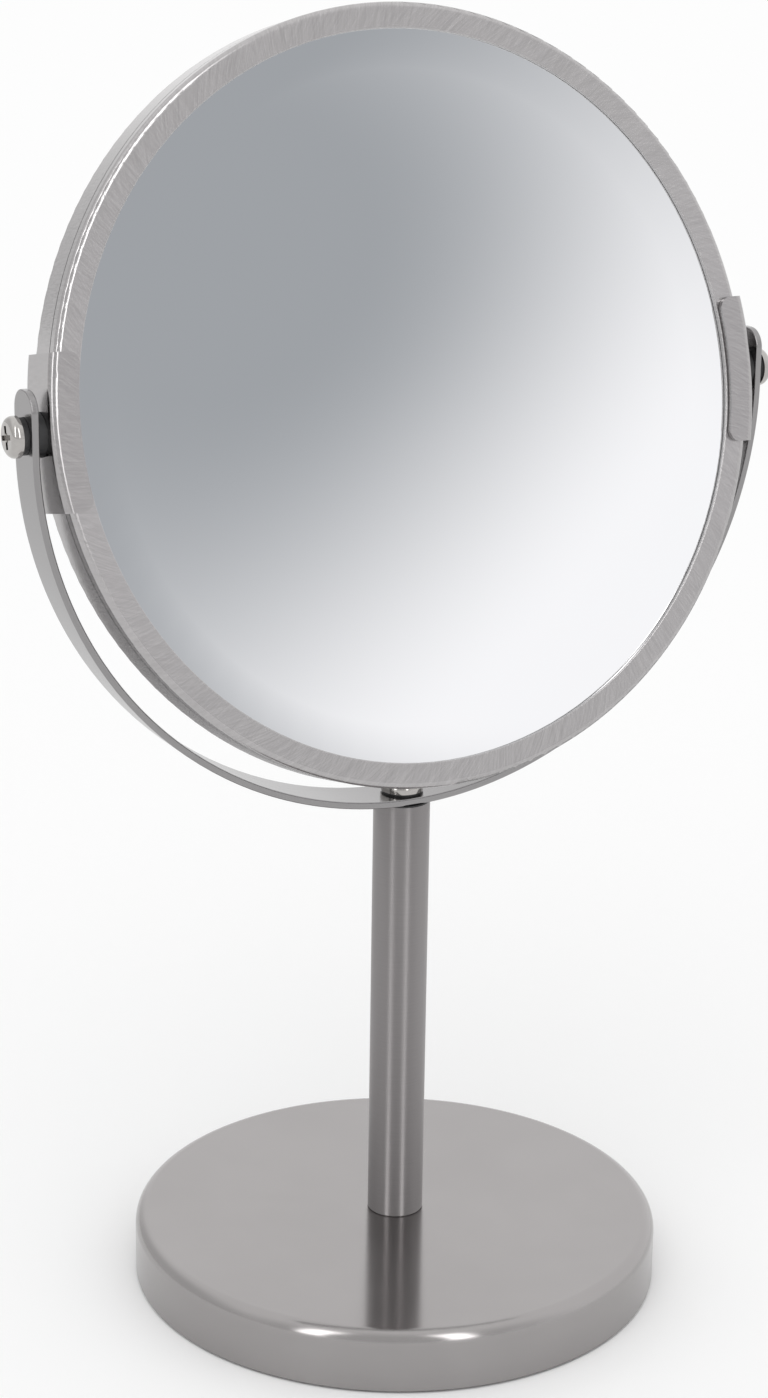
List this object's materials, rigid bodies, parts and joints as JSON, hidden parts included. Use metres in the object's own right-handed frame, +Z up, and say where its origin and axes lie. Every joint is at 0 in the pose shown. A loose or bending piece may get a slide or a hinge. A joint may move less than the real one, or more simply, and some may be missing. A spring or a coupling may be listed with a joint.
{
  "type": "magnifying makeup mirror",
  "caption": "Round table mirror with a plain and a magnifying face, turning in a U-shaped yoke on a tubular stem with a weighted disc foot, in satin nickel.",
  "frame": {"origin": "centre of the foot's underside, on the table", "axes": "+Z up along the stem, X along the pivot axis, -Y towards the person who looks into the magnifying face"},
  "size_m": [0.19, 0.125, 0.2982],
  "materials": {
    "satin_steel": "satin nickel plate",
    "brushed_ring": "cross-brushed nickel plate",
    "bright_screw": "polished",
    "mirror_glass": "silvered glass",
    "black_plastic": "moulded, matt black",
    "inner_plastic": "moulded, natural",
    "zinc_steel": "zinc plated",
    "ballast": "cast cement",
    "foot_pad": "foam rubber sheet",
    "backing_board": "grey board"
  },
  "bodies": {
    "stand": {"base_cover": "satin_steel", "base_pad": "foot_pad", "base_ballast": "ballast", "base_bolt": "zinc_steel", "base_bolt_washer": "zinc_steel", "stem_tube": "satin_steel", "stem_foot_insert": "zinc_steel", "stem_top_plug": "black_plastic", "yoke": "satin_steel", "yoke_washer": "black_plastic", "yoke_screw": "bright_screw"},
    "head": {"front_ring": "brushed_ring", "rear_ring": "satin_steel", "magnifying_mirror": "mirror_glass", "plain_mirror": "mirror_glass", "mirror_spacer_ring": "inner_plastic", "mirror_backing": "backing_board", "left_clip": "brushed_ring", "left_pivot_nut": "zinc_steel", "left_inner_washer": "black_plastic", "left_outer_spacer": "black_plastic", "left_pivot_screw": "bright_screw", "right_clip": "brushed_ring", "right_pivot_nut": "zinc_steel", "right_inner_washer": "black_plastic", "right_outer_spacer": "black_plastic", "right_pivot_screw": "bright_screw"}
  },
  "joints": [
    {"name": "head_tilt", "type": "hinge", "parent": "stand", "child": "head", "pos_m": [0, 0, 0.2129], "axis": [1, 0, 0], "continuous": true}
  ]
}
